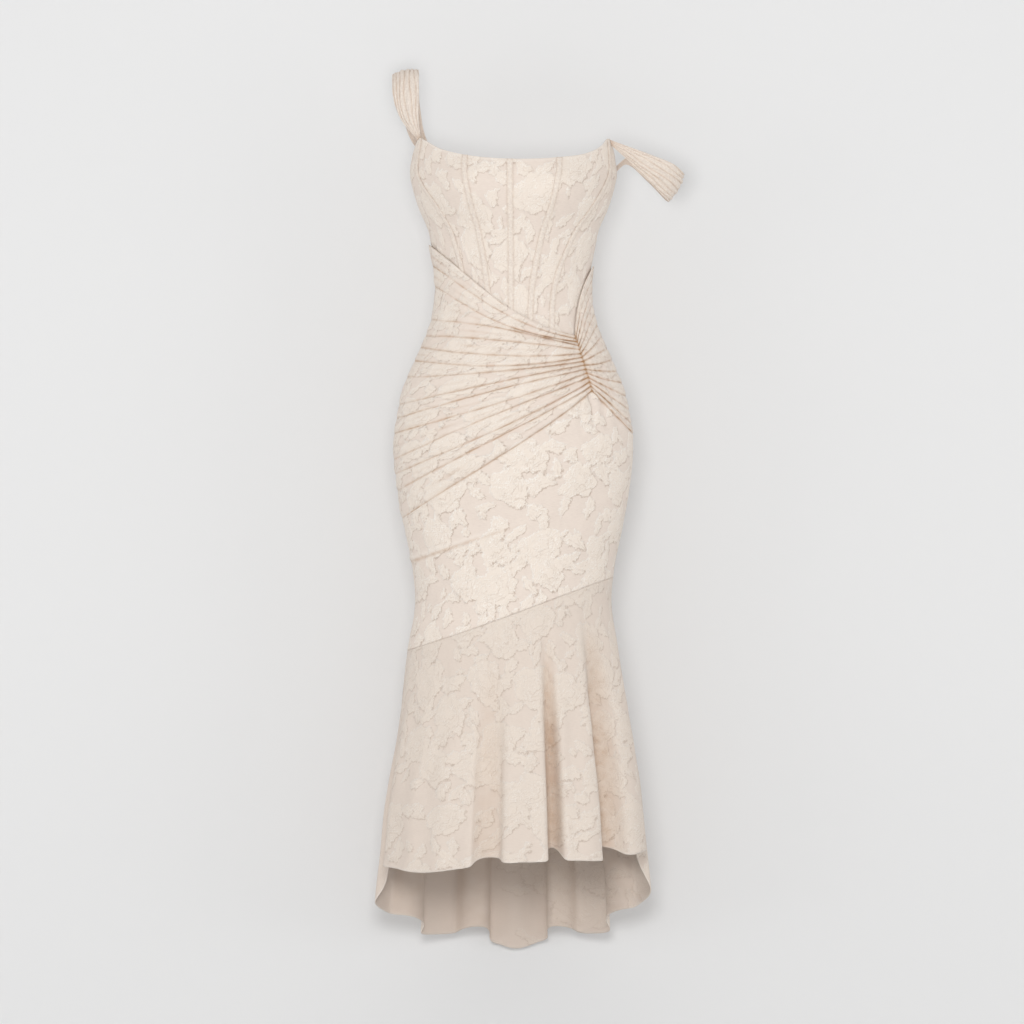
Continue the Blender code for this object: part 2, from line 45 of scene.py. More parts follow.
form = {
    # height, half width, front depth, back depth, under the cloth
    "cuts": (
        (0.050, 0.1515, 0.092, 0.082),
        (0.032, 0.1560, 0.100, 0.084),
        (0.000, 0.1615, 0.110, 0.088),
        (-0.020, 0.1640, 0.115, 0.089),
        (-0.048, 0.1590, 0.116, 0.088),
        (-0.080, 0.1489, 0.110, 0.086),
        (-0.112, 0.1350, 0.100, 0.083),
        (-0.144, 0.1285, 0.092, 0.080),
        (-0.176, 0.1220, 0.085, 0.077),
        (-0.208, 0.1195, 0.081, 0.076),
        (-0.240, 0.1220, 0.082, 0.079),
        (-0.272, 0.1305, 0.087, 0.086),
        (-0.304, 0.1440, 0.093, 0.095),
        (-0.336, 0.1580, 0.099, 0.104),
        (-0.368, 0.1720, 0.104, 0.113),
        (-0.400, 0.1815, 0.108, 0.121),
        (-0.432, 0.1880, 0.112, 0.127),
        (-0.464, 0.1895, 0.114, 0.129),
        (-0.528, 0.1835, 0.114, 0.124),
        (-0.592, 0.1720, 0.110, 0.114),
        (-0.656, 0.1595, 0.106, 0.106),
        (-0.700, 0.1555, 0.105, 0.104),
        (-0.784, 0.1680, 0.113, 0.114),
        (-0.912, 0.1840, 0.128, 0.136),
        (-1.040, 0.2000, 0.146, 0.160),
        (-1.104, 0.2050, 0.153, 0.172),
        (-1.190, 0.2120, 0.160, 0.186),
        (-1.270, 0.2140, 0.165, 0.196),
    ),
    "cupOut": 0.020,
    "cupX": 0.082,
    "cupHeight": -0.046,
    "cupSpreadX": 0.052,
    "cupSpreadZ": 0.046,
    "sideSeam": 90.0,
    "gatherLine": 45.0,
    "waist": -0.208,
    "cloth": 0.0013,
    "gap": 0.0003,
    "seamGap": 0.00008,
}


def throughTable(rows, at):
    # a smooth curve through (place, value) rows: each stretch is a cubic that keeps the slopes
    table = np.array(sorted(rows), dtype=float)
    places, values = table[:, 0], table[:, 1]
    slopes = np.gradient(values, places)
    at = np.clip(np.asarray(at, dtype=float), places[0], places[-1])
    spot = np.clip(np.searchsorted(places, at) - 1, 0, len(places) - 2)
    span = places[spot + 1] - places[spot]
    part = (at - places[spot]) / span
    rise = part * part * (3 - 2 * part)
    startPush = part * (1 - part) ** 2 * span * slopes[spot]
    endPush = part * part * (part - 1) * span * slopes[spot + 1]
    return values[spot] * (1 - rise) + values[spot + 1] * rise + startPush + endPush


def ease(part):
    # 0 to 1 with level ends: 3p^2 - 2p^3
    part = np.clip(part, 0.0, 1.0)
    return part * part * (3 - 2 * part)


def drift(across, along, seed):
    # slow unevenness from -1 to 1: a sum of four crossed sine waves, each with its own tilt
    total = 0.0
    for step in range(4):
        turn = seed * 1.7 + step * 2.4
        crosswise = across * (1.3 + step * 0.9) * math.cos(turn) * 6
        total = total + np.sin(crosswise + along * (1.1 + step) * 5 + turn * 3)
    return total / 4


def cutAt(height):
    # half width, front depth and back depth at a height
    return [throughTable([(row[0], row[side]) for row in form["cuts"]], height) for side in (1, 2, 3)]


def wornPoint(angle, height, out):
    # a point of a half-ellipse cut: x = w sin a, y = -d cos a, less the cups' round swell, then
    # moved out along the ellipse's normal (x / w^2, y / d^2)
    angle, height, out = np.broadcast_arrays(
        np.asarray(angle, dtype=float), np.asarray(height, dtype=float), np.asarray(out, dtype=float)
    )
    halfWidth, front, back = cutAt(height)
    turn = np.radians(angle)
    ahead = np.cos(turn)
    depth = np.where(ahead > 0, front, back)
    x = halfWidth * np.sin(turn)
    y = -depth * ahead
    across = (np.abs(x) - form["cupX"]) / form["cupSpreadX"]
    upward = (height - form["cupHeight"]) / form["cupSpreadZ"]
    y = y - form["cupOut"] * np.exp(-across**2 - upward**2) * ease(ahead * 3)
    normalX = np.sin(turn) / halfWidth
    normalY = -ahead / depth
    length = np.hypot(normalX, normalY)
    return np.stack((x + out * normalX / length, y + out * normalY / length, height), axis=-1)


def gridArea(points):
    # area of a grid of points: half the length of each cell's crossed diagonals, summed
    one = points[1:, 1:] - points[:-1, :-1]
    two = points[1:, :-1] - points[:-1, 1:]
    return float(np.linalg.norm(np.cross(one, two), axis=-1).sum() / 2)


garden = {
    "spacing": 0.088,
    "bloom": (0.027, 0.040),
    "petals": (5, 8),
    "leaves": 5,
    "leafLong": (0.014, 0.022),
    "leafWide": (0.0065, 0.0100),
    "lift": 0.0003,
    "lightStep": 0.0015,
}


def plantGarden(left, right, low, high):
    # blooms on a jittered grid of staggered rows, leaves round each bloom, a sprig in between
    random = np.random.default_rng(17)
    rowStep = garden["spacing"] * 0.86
    blooms, leaves = [], []
    for row in range(-30, 31):
        for column in range(-16, 17):
            jitter = random.uniform(-0.28, 0.28, 2) * garden["spacing"]
            x = (column + 0.5 * (row % 2)) * garden["spacing"] + jitter[0]
            y = row * rowStep + jitter[1]
            shape = random.uniform(0, 1, 8)
            size = garden["bloom"][0] + (garden["bloom"][1] - garden["bloom"][0]) * shape[0]
            around = random.uniform(0, 1, (garden["leaves"] + 3, 4))
            if not (left - 0.08 < x < right + 0.08 and low - 0.08 < y < high + 0.08):
                continue
            petals = int(garden["petals"][0] + shape[1] * (garden["petals"][1] - garden["petals"][0]))
            blooms.append((x, y, size, petals, shape[2] * 6.28, shape[3] * 6.28, shape[4]))
            for number, (turn, far, long, wide) in enumerate(around):
                sprig = number >= garden["leaves"]
                direction = 6.28 * (number + 0.7 * turn) / garden["leaves"]
                reach = size * (1.75 + 0.25 * far) if sprig else size + 0.010 + 0.008 * far
                length = garden["leafLong"][0] + (garden["leafLong"][1] - garden["leafLong"][0]) * long
                width = garden["leafWide"][0] + (garden["leafWide"][1] - garden["leafWide"][0]) * wide
                if sprig:
                    length, width = length * 0.6, width * 0.6
                slant = direction + (turn - 0.5) * 1.6
                leaves.append(
                    (x + reach * math.cos(direction), y + reach * math.sin(direction), length, width, slant)
                )
    return blooms, leaves


def drawGarden(across, along, blooms, leaves):
    # signed distance to the nearest outline, + inside, and to the lines drawn within.
    # bloom: R (0.82 + 0.13 |cos(n a / 2)| + 0.05 sin 3a + 0.03 sin 11a) - r
    # leaf: W (1 - (l / L)^2)(1 + 0.18 sin 9 l / L) - |w|
    outline = np.full(across.shape, -0.02)
    drawn = np.full(across.shape, 0.02)
    for x, y, size, petals, turn, tilt, heart in blooms:
        near = np.nonzero((np.abs(across - x) < size + 0.02) & (np.abs(along - y) < size + 0.02))
        if len(near[0]) == 0:
            continue
        dx, dy = across[near] - x, along[near] - y
        reach = np.hypot(dx, dy) + 1e-6
        angle = np.arctan2(dy, dx)
        lobes = np.abs(np.cos(petals * angle / 2 + turn))
        uneven = 0.05 * np.sin(3 * angle + tilt) + 0.03 * np.sin(11 * angle + turn)
        edge = size * (0.82 + 0.13 * lobes + uneven) - reach
        innerLobes = np.abs(np.cos(petals * angle / 2 + turn + 1.4))
        ring = reach - size * (0.54 + 0.14 * innerLobes)
        heartRing = reach - size * (0.22 + 0.10 * lobes + 0.05 * heart)
        spoke = reach * np.sin(petals * angle / 2 + turn + 1.57) / petals * 2
        rings = np.where(np.abs(ring) < np.abs(heartRing), ring, heartRing)
        inside = np.where(reach > size * 0.66, spoke, rings)
        better = edge > outline[near]
        outline[near] = np.where(better, edge, outline[near])
        drawn[near] = np.where(better, inside, drawn[near])
    for x, y, length, width, slant in leaves:
        near = np.nonzero((np.abs(across - x) < length + 0.006) & (np.abs(along - y) < length + 0.006))
        if len(near[0]) == 0:
            continue
        dx, dy = across[near] - x, along[near] - y
        lengthwise = dx * math.cos(slant) + dy * math.sin(slant)
        sideways = dy * math.cos(slant) - dx * math.sin(slant)
        part = lengthwise / length
        wave = 1 + 0.18 * np.sin(9 * part + slant * 5)
        edge = np.minimum(width * (1 - part**2) * wave - np.abs(sideways), (1 - np.abs(part)) * length)
        better = edge > outline[near]
        outline[near] = np.where(better, edge, outline[near])
        drawn[near] = np.where(better, sideways, drawn[near])
    return outline, drawn


def pattern(across, along):
    # the drawing at each point, how much its slope faces the upper left (that side takes painted light, the
    # other painted shade), and the relief that it lifts
    across, along = np.broadcast_arrays(np.asarray(across, dtype=float), np.asarray(along, dtype=float))
    across, along = across.copy(), along.copy()
    across += 0.004 * np.sin(along * 61 + across * 37) + 0.002 * np.sin(along * 173)
    along += 0.004 * np.sin(across * 53 - along * 29) + 0.002 * np.sin(across * 157)
    blooms, leaves = plantGarden(across.min(), across.max(), along.min(), along.max())
    outline, drawn = drawGarden(across, along, blooms, leaves)
    step = garden["lightStep"]
    beyond, _lines = drawGarden(across - step * 0.7, along + step * 0.7, blooms, leaves)
    facing = np.clip((outline - beyond) / step, -1, 1)
    lift = garden["lift"] * ease(outline / 0.0012 + 0.5)
    return {"motif": outline, "petal": drawn, "facing": facing, "lift": lift}


def clothWall(name, inner, outer, across, along, crease=None, edge=None, drawing=None):
    # two grids joined by a rim; the UV map is the cloth's own metres across and along
    rows, columns = inner.shape[:2]
    count = rows * columns
    index = np.arange(count).reshape(rows, columns)
    points = np.concatenate((inner.reshape(-1, 3), outer.reshape(-1, 3)))
    cells = np.stack((index[:-1, :-1], index[:-1, 1:], index[1:, 1:], index[1:, :-1]), axis=-1)
    innerFaces = cells.reshape(-1, 4)
    outerFaces = innerFaces[:, ::-1] + count
    loop = np.concatenate((index[0, :-1], index[:-1, -1], index[-1, :0:-1], index[:0:-1, 0]))
    after = np.roll(loop, -1)
    rim = np.stack((after, loop, loop + count, after + count), axis=-1)
    faces = np.concatenate((innerFaces, outerFaces, rim))
    mesh = bpy.data.meshes.new(name)
    mesh.from_pydata(points.tolist(), [], faces.tolist())
    whole = bmesh.new()
    whole.from_mesh(mesh)
    bmesh.ops.recalc_face_normals(whole, faces=whole.faces)
    whole.to_mesh(mesh)
    whole.free()
    corner = np.empty(len(mesh.loops), dtype=np.int64)
    mesh.loops.foreach_get("vertex_index", corner)
    shape = (rows, columns)
    flat = np.stack((np.broadcast_to(across, shape), np.broadcast_to(along, shape)), axis=-1)
    flat = np.tile(flat.reshape(-1, 2), (2, 1))
    layer = mesh.uv_layers.new(name="cloth")
    layer.data.foreach_set("uv", flat[corner].ravel())
    # crease carries painted shade for creases, valleys and seams; edge carries the lighter top edges and
    # hem and the painted highlight on fold ridges
    fields = {"crease": crease, "edge": edge, "motif": 0.0006, "petal": 0.02, "facing": 0.0}
    fields.update({title: values for title, values in (drawing or {}).items() if title != "lift"})
    for title, values in fields.items():
        values = 0.0 if values is None else values
        field = np.tile(np.broadcast_to(values, (rows, columns)).ravel(), 2)
        mesh.attributes.new(title, "FLOAT", "POINT").data.foreach_set("value", field)
    inside = np.concatenate((np.ones(count), np.zeros(count)))
    mesh.attributes.new("inside", "FLOAT", "POINT").data.foreach_set("value", inside)
    mesh.shade_smooth()
    piece = bpy.data.objects.new(name, mesh)
    bpy.context.scene.collection.objects.link(piece)
    return piece


def dressWith(piece, node, material):
    # what every cloth piece needs: its finish and the node it stands for
    piece.data.materials.append(material)
    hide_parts(node)
    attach(piece, "root")


# Shader maths: a Field wraps a socket, and expressions on Fields add Math nodes.
class Field:
    def __init__(self, tree, socket):
        self.tree = tree
        self.socket = socket

    def node(self, kind, settings, values, output=0):
        made = self.tree.nodes.new(kind)
        for setting, value in settings.items():
            setattr(made, setting, value)
        for socket, value in values.items():
            if isinstance(value, Field):
                self.tree.links.new(value.socket, made.inputs[socket])
            else:
                made.inputs[socket].default_value = value
        return Field(self.tree, made.outputs[output])

    def maths(self, operation, *values):
        return self.node("ShaderNodeMath", {"operation": operation}, dict(enumerate(values)))

    def __add__(self, other):
        return self.maths("ADD", self, other)

    def __radd__(self, other):
        return self.maths("ADD", other, self)

    def __sub__(self, other):
        return self.maths("SUBTRACT", self, other)

    def __rsub__(self, other):
        return self.maths("SUBTRACT", other, self)

    def __mul__(self, other):
        return self.maths("MULTIPLY", self, other)

    def __rmul__(self, other):
        return self.maths("MULTIPLY", other, self)

    def step(self, low, high):
        # 0 below low, 1 above high, smooth between
        settings = {"interpolation_type": "SMOOTHSTEP"}
        return self.node("ShaderNodeMapRange", settings, {0: self, 1: low, 2: high, 3: 0.0, 4: 1.0})

    def blend(self, first, second):
        # a colour mix by this value
        return self.node(
            "ShaderNodeMix", {"data_type": "RGBA", "clamp_factor": True}, {0: self, 6: first, 7: second}, 2
        )


weave = {
    "motif": (0.832, 0.740, 0.652, 1.0),
    # the threads' own paler colour, and also the painted highlight on rims and lines facing the upper left
    "thread": (0.930, 0.875, 0.810, 1.0),
    "ground": (0.800, 0.700, 0.620, 1.0),
    "groundLine": (0.740, 0.640, 0.566, 1.0),
    # painted shade on the rims, drawn lines and thread shadows
    "outline": (0.520, 0.405, 0.320, 1.0),
    "flounceTone": (0.640, 0.550, 0.475, 1.0),
    # painted shade: the brown that darkens creases, fold valleys and seams
    "creaseShade": (0.470, 0.275, 0.145, 1.0),
    # the pale colour of the lighter top edges and hem, and the painted highlight along the ridges of the
    # wrap's folds
    "hem": (0.910, 0.840, 0.765, 1.0),
    # painted shade on the inner faces
    "insideShade": (0.740, 0.625, 0.540, 1.0),
    "roughness": 0.85,
    "fringe": 0.0100,
    "relief": 0.00030,
    "threadRelief": 0.00012,
    "curlScale": (150.0, 170.0),
    "curlShade": 0.0010,
}


def jacquard(name, motifShare=1.0, shift=(0.0, 0.0), shadeShare=0.0):
    # raised flowers and leaves on a smooth ground; the drawing's outline comes as distances on the
    # mesh, and noise on the cloth's own UV metres frays it and adds the curled threads
    material = bpy.data.materials.new(name)
    material.use_nodes = True
    tree = material.node_tree
    shader = tree.nodes["Principled BSDF"]
    start = Field(tree, tree.nodes.new("ShaderNodeUVMap").outputs[0])
    tree.nodes[-1].uv_map = "cloth"

    def read(attribute):
        return start.node("ShaderNodeAttribute", {"attribute_name": attribute}, {}, 2)

    def noise(scale, detail, move=(0.0, 0.0)):
        moved = (shift[0] + move[0], shift[1] + move[1], 0.0)
        place = start.node("ShaderNodeMapping", {}, {0: start, 1: moved, 3: (*scale, 1.0)})
        return start.node(
            "ShaderNodeTexNoise", {"noise_dimensions": "2D"},
            {"Vector": place, "Scale": 1.0, "Detail": detail, "Roughness": 0.6},
        )

    fringe = noise((250.0, 250.0), 3.0) - 0.5
    place = read("motif") + fringe * weave["fringe"]
    motif = place.step(-0.0003, 0.0005)
    rim = 1.0 - start.maths("ABSOLUTE", place).step(0.0004, 0.0015)
    facing = read("facing")
    line = (1.0 - start.maths("ABSOLUTE", read("petal") + fringe * 0.004).step(0.0003, 0.0013)) * motif

    # curled threads: thin lines where noise passes one half, each with a painted shadow a step below it
    patch = noise((55.0, 55.0), 1.0)
    scattered = (patch - 0.42).step(0.0, 0.12)
    curlScale = weave["curlScale"]
    below = weave["curlShade"] * curlScale[0]
    curl = start.maths("ABSOLUTE", noise(curlScale, 2.0) - 0.5)
    under = start.maths("ABSOLUTE", noise(curlScale, 2.0, (-below, below)) - 0.5)
    amount = motif * (0.35 + 0.65 * scattered)
    thread = (1.0 - curl.step(0.010, 0.055)) * amount
    shade = (1.0 - under.step(0.010, 0.055)) * amount * (1.0 - thread)
    rib = noise((130.0, 900.0), 1.0)
    relief = (motif - line * 0.5) * weave["relief"] + thread * weave["threadRelief"]
    relief = relief * motifShare + (patch - 0.5) * 0.0005 + (rib - 0.5) * 0.00010

    ground = ((rib - 0.35) * 1.6 + (patch - 0.5) * 0.7).blend(weave["ground"], weave["groundLine"])
    colour = motif.blend(ground, weave["motif"])
    # painted light from the upper left: rims, drawn lines and thread shadows darken to the outline colour
    # as painted shade, rims and lines facing the upper left lighten to the thread colour as painted
    # highlight; the threads lighten partly by their own paler colour, partly as painted highlight
    paintedShade = rim * (0.55 - 0.45 * facing) + line * (0.30 - 0.25 * facing) + shade * 0.34
    light = rim * (0.35 + 0.65 * facing) + line * 0.30 * facing + thread * 0.80
    colour = (paintedShade * (0.66 * motifShare)).blend(colour, weave["outline"])
    colour = (light * (0.90 * motifShare)).blend(colour, weave["thread"])
    if shadeShare > 0.0:
        colour = start.node(
            "ShaderNodeMix", {"data_type": "RGBA"}, {0: shadeShare, 6: colour, 7: weave["flounceTone"]}, 2
        )
    # lighter at the top edges and the hem; on the wrap's fold ridges this is painted highlight
    colour = (read("edge") * 0.7).blend(colour, weave["hem"])
    # painted shade on the inner faces
    colour = (read("inside") * 0.50).blend(colour, weave["insideShade"])
    # painted shade in creases, fold valleys and seams, made uneven by the patch noise
    crease = read("crease") * (0.62 + 1.5 * (patch - 0.25))
    colour = crease.blend(colour, weave["creaseShade"])
    tree.links.new(colour.socket, shader.inputs["Base Color"])
    rough = weave["roughness"] - (1.0 - motif) * 0.12
    tree.links.new(rough.socket, shader.inputs["Roughness"])
    bump = start.node("ShaderNodeBump", {}, {"Strength": 1.0, "Distance": 1.0, "Height": relief})
    tree.links.new(bump.socket, shader.inputs["Normal"])
    shader.inputs["Specular IOR Level"].default_value = 0.2
    shader.inputs["Sheen Weight"].default_value = 0.08
    shader.inputs["Sheen Roughness"].default_value = 0.5
    return material


def plainTape(name, colour, roughness):
    # a fine twill: crossed level waves in the cloth's own metres
    material = bpy.data.materials.new(name)
    material.use_nodes = True
    tree = material.node_tree
    shader = tree.nodes["Principled BSDF"]
    place = Field(tree, tree.nodes.new("ShaderNodeTexCoord").outputs["Object"])
    waves = {"Vector": place, "Scale": 420.0, "Distortion": 0.4}
    rib = place.node("ShaderNodeTexWave", {"bands_direction": "DIAGONAL"}, waves, 1)
    darker = (colour[0] * 0.8, colour[1] * 0.8, colour[2] * 0.8, 1.0)
    shade = (rib * 0.5).blend((*colour, 1.0), darker)
    tree.links.new(shade.socket, shader.inputs["Base Color"])
    bump = place.node("ShaderNodeBump", {}, {"Strength": 1.0, "Distance": 1.0, "Height": rib * 0.0001})
    tree.links.new(bump.socket, shader.inputs["Normal"])
    shader.inputs["Roughness"].default_value = roughness
    return material


print("materials")
bodiceCloth = jacquard("bodice_jacquard", motifShare=0.85, shift=(0.37, 0.12))
sideCloth = jacquard("side_jacquard", motifShare=0.85, shift=(0.71, 0.43))
wrapCloth = jacquard("wrap_jacquard", shift=(0.05, 0.03))
backCloth = jacquard("back_jacquard", shift=(1.15, 0.62))
flounceCloth = jacquard("flounce_jacquard", shift=(2.03, 0.27), shadeShare=0.40)
strapCloth = jacquard("strap_jacquard", motifShare=0.5, shift=(0.9, 1.7))
casingCloth = jacquard("casing_jacquard", motifShare=0.5, shift=(0.2, 0.9))

bodice = {
    # angle, height of the top edge
    "topEdge": (
        (-180.0, -0.024), (-150.0, -0.022), (-120.0, -0.016), (-97.0, -0.006), (-84.0, 0.012),
        (-74.0, 0.0335), (-66.0, 0.0310), (-45.0, 0.0145), (-28.0, 0.0052), (0.0, -0.0012),
        (28.0, 0.0020), (45.0, 0.0080), (62.0, 0.0210), (72.0, 0.0320), (78.0, 0.0325),
        (86.0, 0.0130), (97.0, -0.006), (120.0, -0.016), (150.0, -0.022), (180.0, -0.024),
    ),
    # height, then the angle of each seam: right princess, right inner, centre, left inner, left princess
    "seams": (
        (0.035, -71.0, -29.0, -2.0, 28.0, 74.0),
        (-0.030, -67.0, -28.0, -2.0, 25.5, 67.0),
        (-0.075, -54.5, -26.5, -2.0, 23.5, 57.0),
        (-0.126, -46.5, -24.0, -2.0, 19.5, 45.0),
        (-0.190, -41.5, -21.0, -2.0, 15.0, 34.5),
        (-0.260, -39.0, -18.5, -2.0, 12.0, 28.5),
        (-0.330, -38.0, -17.0, -2.0, 10.5, 24.0),
    ),
    "hiddenDepth": 0.030,
    "rows": 110,
    "pucker": 0.0005,
    "casingWidth": 0.0095,
    "casingLift": 0.0005,
    "casingCloth": 0.0008,
}

wrap = {
    # right side height, right sag, share of the gathered line, left side height, left sag, stand
    "folds": (
        (-0.136, 0.022, 0.00, -0.170, -0.004, 0.0020),
        (-0.170, 0.017, 0.06, -0.192, -0.002, 0.0030),
        (-0.203, 0.015, 0.12, -0.211, 0.000, 0.0040),
        (-0.256, -0.006, 0.19, -0.229, 0.000, 0.0030),
        (-0.282, -0.003, 0.26, -0.246, 0.000, 0.0036),
        (-0.300, 0.009, 0.33, -0.264, 0.000, 0.0036),
        (-0.322, 0.011, 0.40, -0.283, 0.000, 0.0040),
        (-0.348, 0.004, 0.47, -0.302, 0.000, 0.0044),
        (-0.392, -0.004, 0.54, -0.320, 0.002, 0.0036),
        (-0.413, -0.005, 0.61, -0.338, 0.002, 0.0036),
        (-0.438, 0.001, 0.68, -0.357, 0.002, 0.0044),
        (-0.480, -0.007, 0.76, -0.378, 0.001, 0.0036),
        (-0.503, 0.003, 0.84, -0.400, 0.000, 0.0040),
        (-0.528, 0.001, 0.92, -0.421, 0.000, 0.0048),
        (-0.574, 0.006, 1.00, -0.438, 0.000, 0.0000),
    ),
    "gatherTop": -0.2815,
    "gatherBottom": -0.3705,
    "atSide": 0.45,
    "pinch": 0.10,
    "standOff": 0.0043,
    "rowsPerFold": 12,
    "lowerRows": 110,
    "rightColumns": 112,
    "leftColumns": 40,
}

flounce = {
    "seamHeight": -0.7255,
    "seamTilt": 0.0585,
    # angle, distance out at the hem, depth of shade: crests and hollows in turn
    "waves": (
        (-90.0, -0.008, 0.2), (-60.0, 0.012, 0.0), (-24.0, 0.013, 0.0), (-11.5, -0.010, 0.35),
        (1.0, 0.014, 0.0), (12.0, 0.017, 0.0), (18.5, -0.024, 1.0), (25.0, 0.018, 0.0),
        (37.0, 0.019, 0.0), (46.0, -0.025, 1.0), (70.0, 0.014, 0.0), (90.0, -0.010, 0.3),
        (108.0, 0.014, 0.0), (126.0, -0.014, 0.3), (145.0, 0.016, 0.0), (161.0, -0.016, 0.3),
        (170.0, 0.022, 0.0), (185.0, 0.022, 0.0), (195.0, -0.016, 0.3), (213.0, 0.016, 0.0),
        (232.0, -0.016, 0.3), (250.0, 0.016, 0.0), (270.0, -0.008, 0.2),
    ),
    "hem": (
        (-90.0, -1.135), (-75.0, -1.124), (-40.0, -1.130), (-10.0, -1.116), (20.0, -1.108), (60.0, -1.106),
        (80.0, -1.095), (90.0, -1.108), (100.0, -1.150), (112.0, -1.186), (125.0, -1.212), (138.0, -1.232),
        (155.0, -1.238), (166.0, -1.243), (179.0, -1.259), (192.0, -1.243), (208.0, -1.238),
        (226.0, -1.234), (238.0, -1.214), (252.0, -1.188), (263.0, -1.165), (270.0, -1.135),
    ),
    "overhang": 0.12,
    "sharpness": 1.4,
    "fullWave": 0.025,
    "drop": 0.50,
    "columnsPerDegree": 1.05,
    "rows": 135,
}


def topEdge(angle):
    return throughTable(bodice["topEdge"], angle)


def seamAngle(seam, height):
    return throughTable([(row[0], row[seam]) for row in bodice["seams"]], height)


def valleyHeight(angle, fold):
    # straight from the side to the gathered line in x, less a sag of 4 s p (1 - p)
    rightSide, rightSag, share, leftSide, leftSag, _stand = fold
    across = np.sin(np.radians(angle))
    gather = math.sin(math.radians(form["gatherLine"]))
    gatherHeight = wrap["gatherTop"] + (wrap["gatherBottom"] - wrap["gatherTop"]) * share
    toRight = np.clip((gather - across) / (gather + 1), 0, 1)
    toLeft = np.clip((across - gather) / (1 - gather), 0, 1)
    right = gatherHeight + (rightSide - gatherHeight) * toRight - rightSag * 4 * toRight * (1 - toRight)
    left = gatherHeight + (leftSide - gatherHeight) * toLeft - leftSag * 4 * toLeft * (1 - toLeft)
    return np.where(across < gather, right, left)


def bodiceBottom(angle):
    return valleyHeight(angle, wrap["folds"][0]) - bodice["hiddenDepth"]


def flounceSeam(angle):
    return flounce["seamHeight"] + flounce["seamTilt"] * np.sin(np.radians(angle))


def makeBodiceFront():
    # each panel lies between two seams; its height and angle settle together in a few rounds
    def seam(number, shift):
        apart = shift * form["gap"] * 0.6
        return lambda height: seamAngle(number, height) + np.degrees(apart / cutAt(height)[1])

    def side(angle, shift):
        return lambda height: angle + shift * np.degrees(form["gap"] * 0.5 / cutAt(height)[0])

    panels = (
        ("bodice_side_right", side(-form["sideSeam"], 1), seam(1, -1), 30, sideCloth, (0.085, 0.240)),
        ("bodice_cup_right", seam(1, 1), seam(2, -1), 56, bodiceCloth, (0.120, 0.290)),
        ("bodice_center_right", seam(2, 1), seam(3, -1), 34, bodiceCloth, (0.085, 0.280)),
        ("bodice_center_left", seam(3, 1), seam(4, -1), 34, bodiceCloth, (0.085, 0.310)),
        ("bodice_cup_left", seam(4, 1), seam(5, -1), 56, bodiceCloth, (0.125, 0.345)),
        ("bodice_side_left", seam(5, 1), side(form["sideSeam"], -1), 34, sideCloth, (0.120, 0.345)),
    )
    edges = []
    for name, fromSeam, toSeam, columns, material, cut in panels:
        share = np.linspace(0, 1, columns + 1)[None, :]
        lift = np.linspace(0, 1, bodice["rows"] + 1)[:, None]
        height = np.zeros((bodice["rows"] + 1, columns + 1))
        for _ in range(12):
            start = fromSeam(height)
            end = toSeam(height)
            angle = start + (end - start) * share
            low = bodiceBottom(angle)
            height = low + (topEdge(angle) - low) * lift
        # the cloth puckers beside the stitched casings: short waves that die away from the seam
        nearSeam = np.exp(-share * 9) + np.exp(-(1 - share) * 9)
        pucker = bodice["pucker"] * nearSeam * np.sin(height * 520 + drift(share, height * 8, 3) * 2.5)
        slack = 0.0005 * drift(share * 1.5, height * 6, len(name)) * np.sin(math.pi * share)
        out = pucker * (share > 0) * (share < 1) + slack
        drawing = pattern(np.radians(angle) * 0.15, height)
        out = out * ease((topEdge(angle) - height) / 0.01)
        inner = wornPoint(angle, height, out)
        outer = wornPoint(angle, height, out + form["cloth"] + drawing["lift"])
        # painted shade beside the seams
        crease = 0.10 * np.exp(-share * 22) + 0.10 * np.exp(-(1 - share) * 22)
        edge = ease(1 - (topEdge(angle) - height) / 0.004)
        piece = clothWall(name, inner, outer, np.radians(angle) * 0.15, height, crease, edge, drawing)
        area = min(gridArea(outer), cut[0] * cut[1])
        dressWith(piece, name, material)
        edges.append((angle, height))
    return edges


def makeCasings(panels):
    # a folded strip over each seam: a flat-topped arch across, two stitched furrows near its edges
    places = ("right_princess", "right_inner", "center", "left_inner", "left_princess")
    across = np.linspace(-1, 1, 15)[None, :]
    for place, (angle, height), (nextAngle, nextHeight) in zip(places, panels, panels[1:]):
        name = "casing_" + place
        middle = (angle[:, -1:] + nextAngle[:, :1]) / 2
        level = (height[:, -1:] + nextHeight[:, :1]) / 2
        halfWidth, front, _back = cutAt(level)
        turn = np.radians(middle)
        reach = np.hypot(halfWidth * np.cos(turn), front * np.sin(turn))
        spread = middle + np.degrees(across * bodice["casingWidth"] / 2 / reach)
        levels = np.broadcast_to(level, spread.shape)
        furrow = np.exp(-((np.abs(across) - 0.70) / 0.10) ** 2)
        stitch = 0.75 + 0.25 * np.sin(levels * 2 * math.pi / 0.0026)
        arch = 0.0005 * (1 - across**2) - 0.0003 * furrow * stitch
        waver = 0.00025 * np.sin(levels * 410 + across * 1.2) + 0.0002 * drift(across, levels * 9, 5)
        base = form["cloth"] + bodice["casingLift"]
        inner = wornPoint(spread, levels, base)
        outer = wornPoint(spread, levels, base + bodice["casingCloth"] + arch + waver)
        # painted shade in the stitched furrows and along the strip's edges
        crease = 0.22 * furrow * stitch + 0.14 * np.abs(across) ** 10
        piece = clothWall(name, inner, outer, across * 0.005, levels, crease)
        length = round(float(level[-1, 0] - level[0, 0]) * 1.02, 3)
        dressWith(piece, name, casingCloth)


def backRows(high, low, rows):
    return low + (high - low) * np.linspace(0, 1, rows + 1)[:, None]


